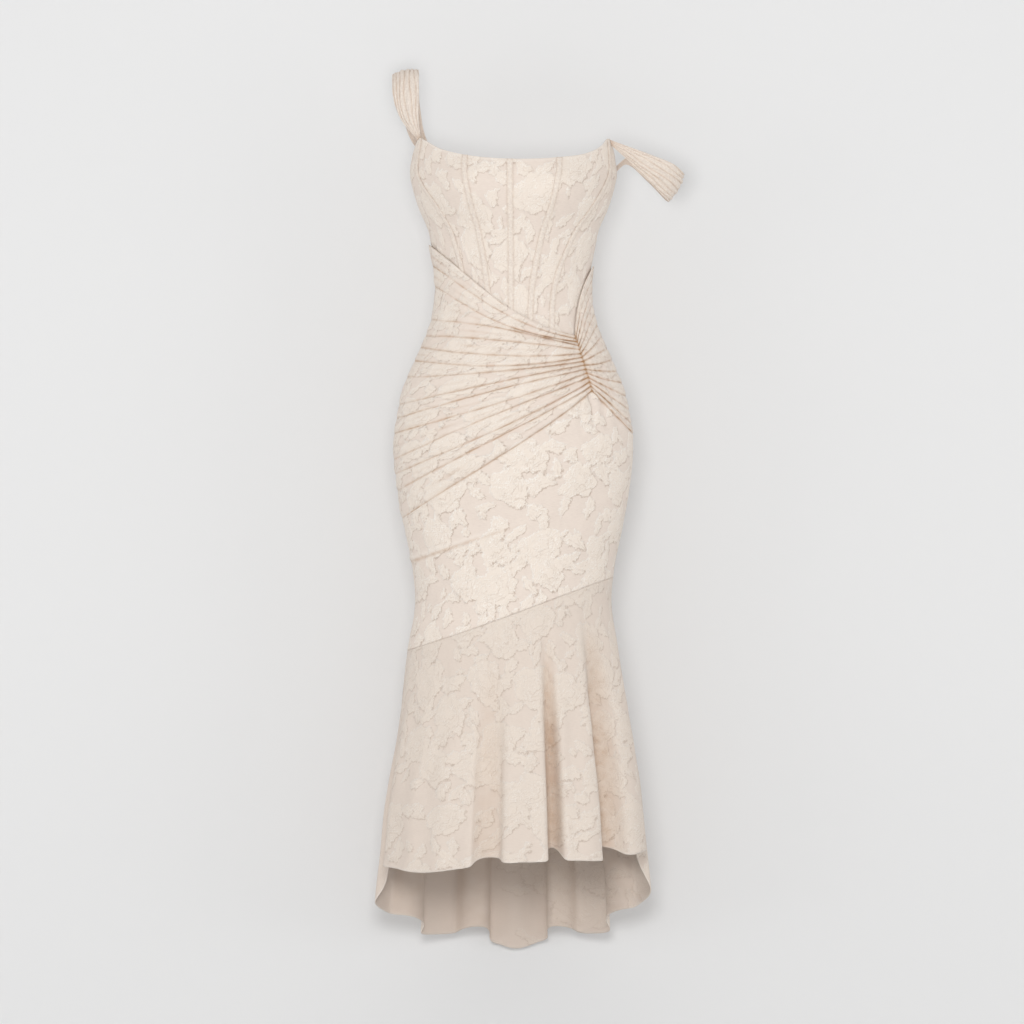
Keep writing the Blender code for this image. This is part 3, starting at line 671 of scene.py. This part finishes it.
def makeBack():
    # back bodice from the top edge to the waist seam, back skirt from there to the flounce
    gap = float(np.degrees(form["gap"] * 0.5 / cutAt(form["waist"])[0]))
    turn = np.linspace(form["sideSeam"] + gap, 180 - gap, 96)[None, :]
    nearCentre = np.exp(-(180 - turn) / 3.0)
    for hand, side in (("right", -1), ("left", 1)):
        angle = side * turn
        height = backRows(topEdge(angle), form["waist"] + form["gap"] / 2, 80)
        nearWaist = ease((form["waist"] + 0.10 - height) / 0.10 + 0.3)
        pull = 0.0011 * drift(turn / 40, height * 7, 4 + side) * nearWaist
        seamPucker = 0.0005 * nearCentre * np.sin(height * 400 + side)
        out = (pull + seamPucker) * np.sin(math.pi * (turn - 90) / 90) ** 0.5
        out = out * ease((height - form["waist"]) / 0.01) * ease((topEdge(angle) - height) / 0.01)
        # painted shade along the centre back seam and the waist seam
        crease = 0.30 * np.exp(-(180 - turn) / 0.7) + 0.30 * np.exp(-(height - form["waist"]) / 0.0015)
        edge = ease(1 - (topEdge(angle) - height) / 0.004)
        name = "bodice_back_" + hand
        drawing = pattern(np.radians(angle) * 0.15 + 0.6, height)
        inner = wornPoint(angle, height, out)
        outer = wornPoint(angle, height, out + form["cloth"] + drawing["lift"])
        piece = clothWall(name, inner, outer, np.radians(angle) * 0.15, height, crease, edge, drawing)
        dressWith(piece, name, backCloth)

        height = backRows(form["waist"] - form["gap"] / 2, flounceSeam(angle) + form["seamGap"] / 2, 190)
        down = (form["waist"] - height) / 0.45
        drag = 0.0022 * np.sin(height * 46 + (180 - turn) * 0.055 * (1 + down) + side * 0.7)
        atHip = np.exp(-((down - 0.28) / 0.22) ** 2)
        drag = drag * atHip * (0.4 + 0.6 * drift(turn / 30, height * 3, 8 + side))
        slack = 0.0014 * drift(turn / 50, height * 4, 2 + side)
        out = (drag + slack) * np.sin(math.pi * (turn - 90) / 90) ** 0.5
        out = out * ease((form["waist"] - height) / 0.02) * ease((height - flounceSeam(angle)) / 0.02)
        # painted shade along the centre back seam and the waist seam
        crease = 0.30 * np.exp(-(180 - turn) / 0.5) + 0.30 * np.exp(-(form["waist"] - height) / 0.0015)
        name = "skirt_back_" + hand
        drawing = pattern(np.radians(angle) * 0.18 + 0.6, height)
        inner = wornPoint(angle, height, out)
        outer = wornPoint(angle, height, out + form["cloth"] + drawing["lift"])
        piece = clothWall(name, inner, outer, np.radians(angle) * 0.18, height, crease, None, drawing)
        dressWith(piece, name, backCloth)


def makeSkirtFront():
    # rows follow the folds' valleys, columns the angle; every fold stands out between two valleys as
    # a ridge of sin(pi p)^0.7 that leans down, pinched at the gathered line and soft at the sides
    gap = float(np.degrees(form["gap"] * 0.5 / cutAt(wrap["gatherBottom"])[0]))
    start = -form["sideSeam"] + gap
    rightShare = np.linspace(0, 1, wrap["rightColumns"] + 1)
    leftShare = np.linspace(0, 1, wrap["leftColumns"] + 1)[1:]
    rightAngle = start + (form["gatherLine"] - start) * (1 - (1 - rightShare) ** 1.25)
    leftAngle = form["gatherLine"] + (form["sideSeam"] - gap - form["gatherLine"]) * leftShare**1.15
    angle = np.concatenate((rightAngle, leftAngle))
    across = np.sin(np.radians(angle))
    gather = math.sin(math.radians(form["gatherLine"]))
    onRight = across < gather
    away = np.abs(across - gather)
    share = away / np.where(onRight, gather + 1, 1 - gather)
    fade = (0.35 + 0.65 * ease(away / wrap["pinch"])) * (1 - (1 - wrap["atSide"]) * ease(share))
    hem = flounceSeam(angle) + form["seamGap"] / 2
    folds = wrap["folds"]
    last = len(folds) - 1
    heights, stands, creases, ridgeHighlights = [], [], [], []
    for number in range(last):
        upper = valleyHeight(angle, folds[number])
        lower = valleyHeight(angle, folds[number + 1])
        gapHere = np.maximum(upper - lower, 0.0005)
        # how far a fold hangs over the one below, and where a furrow splits it, both drift along it
        hang = 1.45 + 0.75 * drift(share * 0.8, number * 0.77, 6)
        splitAt = 0.48 + 0.16 * drift(share * 0.8, number * 1.9, 2)
        splitDepth = ease((gapHere - 0.009) / 0.014) * ease(drift(share * 0.9, number * 2.1, 5) + 0.75)
        for step in range(wrap["rowsPerFold"]):
            part = 0.5 - 0.5 * math.cos(math.pi * step / wrap["rowsPerFold"])
            swell = np.sin(math.pi * part**hang) ** 0.62
            uneven = 1 + 0.45 * drift(share * 1.6, number * 1.3, 9)
            toSplit = (part - splitAt) * gapHere
            split = np.exp(-((toSplit / 0.0030) ** 2)) * splitDepth
            pleat = 0.0008 * np.sin(2 * math.pi * part * 2) * np.exp(-away / 0.06) * (away > 0)
            stand = folds[number][5] * swell * fade * uneven * (1 - 0.50 * split) + pleat
            heights.append(upper + (lower - upper) * part)
            stands.append(stand)
            # painted shade in each valley, in a wider band just above the valley below, and along the
            # furrow that splits a fold; deeper near the gather
            toValley = min(part, 1 - part) * gapHere
            valley = np.exp(-((toValley / 0.0013) ** 2))
            wider = np.exp(-(((1 - part) * gapHere / 0.0055) ** 2))
            near = np.exp(-away / 0.11)
            deep = np.clip(0.42 + 0.50 * near + 0.45 * drift(share * 1.8, number * 0.9, 3), 0.05, 1.1)
            line = np.exp(-((toSplit / 0.0012) ** 2)) * splitDepth
            valleyShade = valley * deep * 0.80 + wider * deep * 0.30 + line * deep * 0.45
            creases.append(valleyShade * (number > 0 or step > 0))
            # painted highlight along the ridge a little above the valley below
            ridgeHighlight = np.exp(-((((1 - part) * gapHere - 0.0042) / 0.0020) ** 2)) * (0.30 + 0.5 * near)
            ridgeHighlights.append(np.clip(ridgeHighlight * (0.6 + 0.8 * drift(share * 2, number * 1.7, 8)), 0, 0.9))
    lowest = valleyHeight(angle, folds[last])
    for part in np.linspace(0, 1, wrap["lowerRows"] + 1):
        height = lowest + (hem - lowest) * part
        drop = lowest - height
        # below the gather a few short pleats fan out and die away; across the hip one long soft crease
        fan = np.exp(-(away / 0.16) ** 2) * np.exp(-drop / 0.035)
        fan = fan * 0.0022 * np.sin((across - gather) * 62)
        toHip = height + 0.640 - (across + 0.95) * 0.055
        hip = np.exp(-((toHip / 0.0022) ** 2)) * ease((0.20 - across) / 0.8)
        hipRidge = np.exp(-(((toHip - 0.005) / 0.0040) ** 2)) * ease((0.20 - across) / 0.8)
        slack = 0.0022 * drift(across * 0.9, height * 3.2, 7)
        slack = slack * ease(drop / 0.08) * ease((height - hem) / 0.03)
        under = 0.0016 * np.exp(-drop / 0.012)
        heights.append(height)
        under = under * (part > 0) * ease(drop / 0.004)
        stands.append(fan + slack + hipRidge * 0.0018 * (part < 1) + under)
        # painted shade under the lowest fold, in the hip crease and at the seam; painted highlight on the
        # hip ridge
        valley = np.exp(-((drop / 0.0016) ** 2)) * 0.60 * ease((0.95 - share) / 0.5)
        seam = 0.05 * np.exp(-(height - hem) / 0.0015)
        creases.append(valley + hip * 0.40 + seam)
        ridgeHighlights.append(hipRidge * 0.45)
    height = np.array(heights)
    stand = np.array(stands) + 0.0004 * drift(across * 4, height * 16, 11)
    crease = np.array(creases)
    aboveEnd = ease((height - wrap["gatherBottom"] + 0.004) / 0.004)
    # painted shade along the gathered line
    crease = crease + 0.5 * np.exp(-(away / 0.010) ** 2)[None, :] * aboveEnd
    angles = np.broadcast_to(angle, height.shape)
    standOff = wrap["standOff"] * ease((height - (wrap["gatherBottom"] - 0.05)) / 0.08)
    # the ridges' painted highlight; the top rows lighter at the folded top edge
    edge = np.array(ridgeHighlights)
    edge[:3] = 0.8
    # the gathered cloth is longer than the folds are tall, so its UV map runs on faster there
    along = height + 0.9 * np.maximum(height - lowest[None, :], 0)
    drawing = pattern(np.radians(angles) * 0.16 - 0.3, along)
    inner = wornPoint(angles, height, standOff + stand)
    outer = wornPoint(angles, height, standOff + stand + form["cloth"] + drawing["lift"])
    piece = clothWall("skirt_front", inner, outer, np.radians(angles) * 0.16, along, crease, edge, drawing)
    dressWith(piece, "skirt_front", wrapCloth)


def waveAt(angle):
    # crest to hollow by half a cosine raised to a power, which narrows the hollows; the flanks lean
    # over by a sine of twice the pace
    table = np.array(flounce["waves"])
    places, outs, shades = table[:, 0], table[:, 1], table[:, 2]
    spot = np.clip(np.searchsorted(places, angle, side="right") - 1, 0, len(places) - 2)
    span = places[spot + 1] - places[spot]
    part = np.clip((angle - places[spot]) / span, 0, 1)
    rise = 0.5 - 0.5 * np.cos(math.pi * part)
    crest = np.maximum(outs[spot], outs[spot + 1])
    hollow = np.minimum(outs[spot], outs[spot + 1])
    fromCrest = np.where(outs[spot] > outs[spot + 1], rise, 1 - rise)
    shade = np.maximum(shades[spot], shades[spot + 1]) * fromCrest**2.5
    out = crest + (hollow - crest) * fromCrest ** flounce["sharpness"]
    lean = flounce["overhang"] * span * np.minimum((crest - hollow) / flounce["fullWave"], 1)
    return out, lean * np.sin(2 * math.pi * part), shade


def makeFlounce():
    # angle across, share down; waves grow from nothing at the seam to full at the hem
    spans = (
        ("flounce_front", -form["sideSeam"], form["sideSeam"], (0.66, 0.42), 0.23),
        ("flounce_back", form["sideSeam"], 360 - form["sideSeam"], (0.92, 0.56), 0.33),
    )
    for name, start, end, cut, area in spans:
        gap = 1.4 * float(np.degrees(form["gap"] * 0.5 / cutAt(-1.135)[0]))
        angle = np.linspace(start + gap, end - gap, int((end - start) * flounce["columnsPerDegree"]))
        down = np.linspace(0, 1, flounce["rows"] + 1)[:, None]
        out, lean, shade = waveAt(angle)
        high = flounceSeam(angle) - form["seamGap"] / 2
        hemHeight = throughTable(flounce["hem"], angle) - flounce["drop"] * out
        height = high + (hemHeight - high) * down
        growth = ease(down * 1.5) * (0.45 + 0.55 * down)
        inFold = np.sin(math.pi * (angle - start) / (end - start)) ** 0.5
        minor = 0.0022 * np.sin(np.radians(angle) * 21 + down * 1.5) * growth * inFold
        minor = minor + 0.0016 * drift(np.radians(angle) * 1.4, down * 1.2, 12) * inFold * ease(down * 4)
        turned = angle + lean * growth
        inner = wornPoint(turned, height, out * growth + minor)
        drawing = pattern(np.radians(angle) * 0.19 + 0.9, height)
        outer = wornPoint(turned, height, out * growth + minor + form["cloth"] * 0.85 + drawing["lift"])
        # painted shade in the hollows of the waves, growing down from the seam, and a little at the seam
        deep = shade * ease(down * 3 - 0.25) * (0.36 + 0.10 * drift(np.radians(angle), down * 1.5, 4))
        seam = 0.05 * np.exp(-(high - height) / 0.0015)
        edge = ease(1 - (height - hemHeight) / 0.0035)
        piece = clothWall(name, inner, outer, np.radians(angle) * 0.19, height, deep + seam, edge, drawing)
        dressWith(piece, name, flounceCloth)


straps = {
    # points of the inner and the outer edge, from the front round to the back
    "right": (
        (-0.1505, -0.0230, 0.0640, -0.1790, -0.0080, 0.0640),
        (-0.1505, -0.0130, 0.1000, -0.1915, -0.0010, 0.1000),
        (-0.1510, 0.0060, 0.1330, -0.1935, 0.0130, 0.1270),
        (-0.1520, 0.0330, 0.1430, -0.1930, 0.0350, 0.1350),
        (-0.1530, 0.0600, 0.1260, -0.1890, 0.0580, 0.1190),
        (-0.1500, 0.0760, 0.0860, -0.1800, 0.0720, 0.0820),
        (-0.1390, 0.0760, 0.0350, -0.1640, 0.0660, 0.0350),
    ),
    "left": (
        (0.1900, -0.0230, 0.0190, 0.1790, -0.0170, 0.0030),
        (0.2220, -0.0250, 0.0070, 0.1990, -0.0190, -0.0180),
        (0.2540, -0.0160, -0.0058, 0.2260, -0.0130, -0.0445),
        (0.2700, 0.0050, -0.0200, 0.2440, 0.0040, -0.0630),
        (0.2660, 0.0280, -0.0220, 0.2420, 0.0240, -0.0620),
        (0.2380, 0.0480, -0.0060, 0.2150, 0.0420, -0.0330),
        (0.1930, 0.0520, 0.0090, 0.1830, 0.0480, -0.0060),
    ),
    # inner angle and drop, outer angle and drop, distance out, at the front and the back
    "ends": {
        "right": ((-71.5, -0.0009, -76.5, -0.0017, 0.0), (-140.0, -0.0010, -130.0, -0.0010, 0.0)),
        "left": ((77.8, 0.0010, 79.0, 0.0090, 0.0019), (104.0, 0.0010, 105.0, 0.0110, 0.0019)),
    },
    "folds": 6,
    "foldOut": 0.0030,
    "crown": 0.004,
    "cloth": 0.0012,
    "rows": 130,
    "columns": 78,
}


def makeStrap(hand, side):
    # a band between two edge curves: crown sin(pi u), folds |sin(n pi u)|^0.6 with n uneven
    def end(values):
        points = []
        for edge in (0, 2):
            points.extend(wornPoint(values[edge], topEdge(values[edge]) - values[edge + 1], values[4]))
        return tuple(float(value) for value in points)

    ends = straps["ends"][hand]
    table = (end(ends[0]),) + straps[hand] + (end(ends[1]),)
    places = np.linspace(0, 1, len(table))
    along = np.linspace(0, 1, straps["rows"] + 1)
    values = [throughTable(list(zip(places, [row[number] for row in table])), along) for number in range(6)]
    innerEdge = np.stack(values[:3], axis=-1)[:, None, :]
    outerEdge = np.stack(values[3:], axis=-1)[:, None, :]
    across = np.linspace(0, 1, straps["columns"] + 1)[None, :, None]
    middle = innerEdge + (outerEdge - innerEdge) * across
    direction = np.gradient(middle, axis=0)
    crosswise = np.broadcast_to(outerEdge - innerEdge, middle.shape)
    facing = np.cross(direction, crosswise)
    facing = side * facing / np.linalg.norm(facing, axis=-1, keepdims=True)
    width = np.linalg.norm(outerEdge - innerEdge, axis=-1, keepdims=True)
    full = width / width.max()
    length = along[:, None, None]
    bent = across + 0.030 * np.sin(length * 9 + across * 4) + 0.020 * np.sin(length * 23 + across * 9)
    phase = straps["folds"] * math.pi * (bent + 0.04 * np.sin(bent * 7))
    fold = np.abs(np.sin(phase)) ** 0.6
    uneven = 0.75 + 0.25 * np.sin(bent * 19 + length * 5)
    wrinkle = 0.0007 * np.sin(phase * 2.3 + length * 31) * np.sin(length * 47 + across * 11)
    swell = np.sin(math.pi * across) * straps["crown"] * full
    lift = swell + (fold * straps["foldOut"] * uneven + wrinkle) * full
    inner = middle + facing * lift
    outer = middle + facing * (lift + straps["cloth"])
    # painted shade in the strap's fold valleys and at its front end
    crease = ((1 - fold) ** 2.2 * 0.5)[..., 0]
    crease = crease + 0.35 * np.exp(-along / 0.02)[:, None]
    name = "strap_" + hand
    flatAcross = (across * width * 1.4)[..., 0]
    flatAlong = np.broadcast_to(along[:, None] * 0.36, flatAcross.shape)
    piece = clothWall(name, inner, outer, flatAcross, flatAlong, crease)
    dressWith(piece, name, strapCloth)


zipFastener = {
    "bottom": -0.430,
    "width": 0.020,
    "cloth": 0.0008,
    "behind": 0.0022,
    "pitch": 0.0030,
    "coilRadius": 0.0011,
    "wire": 0.00045,
}


def makeZip():
    # the tape lies behind the back seam, with a fine coil of teeth down its middle
    height = np.linspace(zipFastener["bottom"], float(topEdge(180.0)), 220)[:, None]
    reach = np.degrees(zipFastener["width"] * 0.5 / cutAt(height)[0])
    angle = 180 + reach * np.linspace(-1, 1, 13)[None, :]
    height = np.broadcast_to(height, angle.shape)
    rib = 0.0002 * np.cos(np.linspace(-1, 1, 13) * 9)[None, :]
    inner = wornPoint(angle, height, -zipFastener["behind"] - zipFastener["cloth"])
    outer = wornPoint(angle, height, rib - zipFastener["behind"])
    piece = clothWall("back_zip_tape", inner, outer, np.radians(angle) * 0.1, height)
    tape = plainTape("zip_twill", (0.80, 0.72, 0.64), 0.75)
    dressWith(piece, "back_zip_tape", tape)
    turns = int((float(topEdge(180.0)) - 0.004 - zipFastener["bottom"]) / zipFastener["pitch"])
    steps = turns * 10
    turn = np.linspace(0, turns * 2 * math.pi, steps)
    level = zipFastener["bottom"] + 0.002 + turn / (2 * math.pi) * zipFastener["pitch"]
    coilRadius = zipFastener["coilRadius"]
    wall = wornPoint(180.0, level, -zipFastener["behind"] - zipFastener["cloth"] - coilRadius - 0.0008)
    wall[:, 0] += coilRadius * 1.3 * np.cos(turn)
    wall[:, 1] += coilRadius * 0.8 * np.sin(turn)
    curve = bpy.data.curves.new("back_zip_teeth", "CURVE")
    curve.dimensions = "3D"
    spline = curve.splines.new("POLY")
    spline.points.add(steps - 1)
    spline.points.foreach_set("co", np.concatenate((wall, np.ones((steps, 1))), axis=1).ravel())
    curve.bevel_depth = zipFastener["wire"]
    curve.bevel_resolution = 1
    curve.use_fill_caps = True
    coil = bpy.data.objects.new("back_zip_teeth", curve)
    bpy.context.scene.collection.objects.link(coil)
    mesh = bpy.data.meshes.new_from_object(coil.evaluated_get(bpy.context.evaluated_depsgraph_get()))
    bpy.data.objects.remove(coil)
    teeth = bpy.data.objects.new("back_zip_teeth", mesh)
    bpy.context.scene.collection.objects.link(teeth)
    mesh.materials.clear()
    mesh.materials.append(plainTape("zip_teeth", (0.86, 0.79, 0.72), 0.35))
    mesh.shade_smooth()
    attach(teeth, "root")


print("bodice")
panelEdges = makeBodiceFront()
makeCasings(panelEdges)
makeBack()
print("skirt and flounce")
makeSkirtFront()
makeFlounce()
print("straps and zip")
makeStrap("right", 1.0)
makeStrap("left", -1.0)
makeZip()

studio = {
    "cameraAway": 18.0,
    "frameWide": 1.6384,
    "middle": (-0.0024, -0.5632),
    "wall": 0.235,
    "floor": -1.47,
    "backdrop": (0.66, 0.66, 0.66),
    "backdropGlow": 0.14,
    "ambient": 0.66,
    # place, size and power of the key light and of the two side fills
    "lights": {
        "key": ((-0.15, -5.0, -0.15), 1.0, 82.0),
        "fillRight": ((-3.6, -2.6, -0.5), 2.2, 17.0),
        "fillLeft": ((3.6, -2.6, -0.5), 2.2, 17.0),
    },
}


def paleStage(name, shape, oneSided):
    # a plain pale plane; the wall is seen from its front only
    mesh = bpy.data.meshes.new(name)
    mesh.from_pydata(shape, [], [(0, 1, 2, 3)])
    plane = bpy.data.objects.new(name, mesh)
    bpy.context.scene.collection.objects.link(plane)
    material = bpy.data.materials.new(name)
    material.use_nodes = True
    tree = material.node_tree
    shader = tree.nodes["Principled BSDF"]
    shader.inputs["Base Color"].default_value = (*studio["backdrop"], 1.0)
    shader.inputs["Roughness"].default_value = 0.9
    shader.inputs["Specular IOR Level"].default_value = 0.1
    if oneSided:
        shader.inputs["Emission Color"].default_value = (1.0, 1.0, 1.0, 1.0)
        shader.inputs["Emission Strength"].default_value = studio["backdropGlow"]
        start = Field(tree, tree.nodes.new("ShaderNodeNewGeometry").outputs["Backfacing"])
        clear = start.node("ShaderNodeBsdfTransparent", {}, {})
        solid = Field(tree, shader.outputs[0])
        mixed = start.node("ShaderNodeMixShader", {}, {0: start, 1: solid, 2: clear})
        tree.links.new(mixed.socket, tree.nodes["Material Output"].inputs[0])
    mesh.materials.append(material)


def lightStudio():
    wall = studio["wall"]
    floor = studio["floor"]
    paleStage("back_wall", [(-6, wall, floor), (6, wall, floor), (6, wall, 5), (-6, wall, 5)], True)
    paleStage("floor", [(-6, -6, floor), (6, -6, floor), (6, 6, floor), (-6, 6, floor)], False)
    world = bpy.data.worlds.new("studio")
    bpy.context.scene.world = world
    world.use_nodes = True
    world.node_tree.nodes["Background"].inputs[0].default_value = (1.0, 1.0, 1.0, 1.0)
    world.node_tree.nodes["Background"].inputs[1].default_value = studio["ambient"]
    for name, (place, size, power) in studio["lights"].items():
        lamp = bpy.data.lights.new(name, "AREA")
        lamp.shape = "DISK"
        lamp.size = size
        lamp.energy = power
        light = bpy.data.objects.new(name, lamp)
        light.location = place
        aim = np.array((0.0, 0.0, studio["middle"][1])) - np.array(place)
        tilt = math.atan2(math.hypot(aim[0], aim[1]), -aim[2])
        light.rotation_euler = (tilt, 0.0, math.atan2(aim[1], aim[0]) - math.pi / 2)
        bpy.context.scene.collection.objects.link(light)
    camera = bpy.data.cameras.new("camera")
    camera.sensor_width = 36.0
    camera.lens = 36.0 * studio["cameraAway"] / studio["frameWide"]
    camera.clip_end = 60.0
    eye = bpy.data.objects.new("camera", camera)
    eye.location = (studio["middle"][0], -studio["cameraAway"], studio["middle"][1])
    eye.rotation_euler = (math.pi / 2, 0.0, 0.0)
    bpy.context.scene.collection.objects.link(eye)
    bpy.context.scene.camera = eye
    bpy.context.scene.view_settings.view_transform = "Standard"


print("studio")
lightStudio()
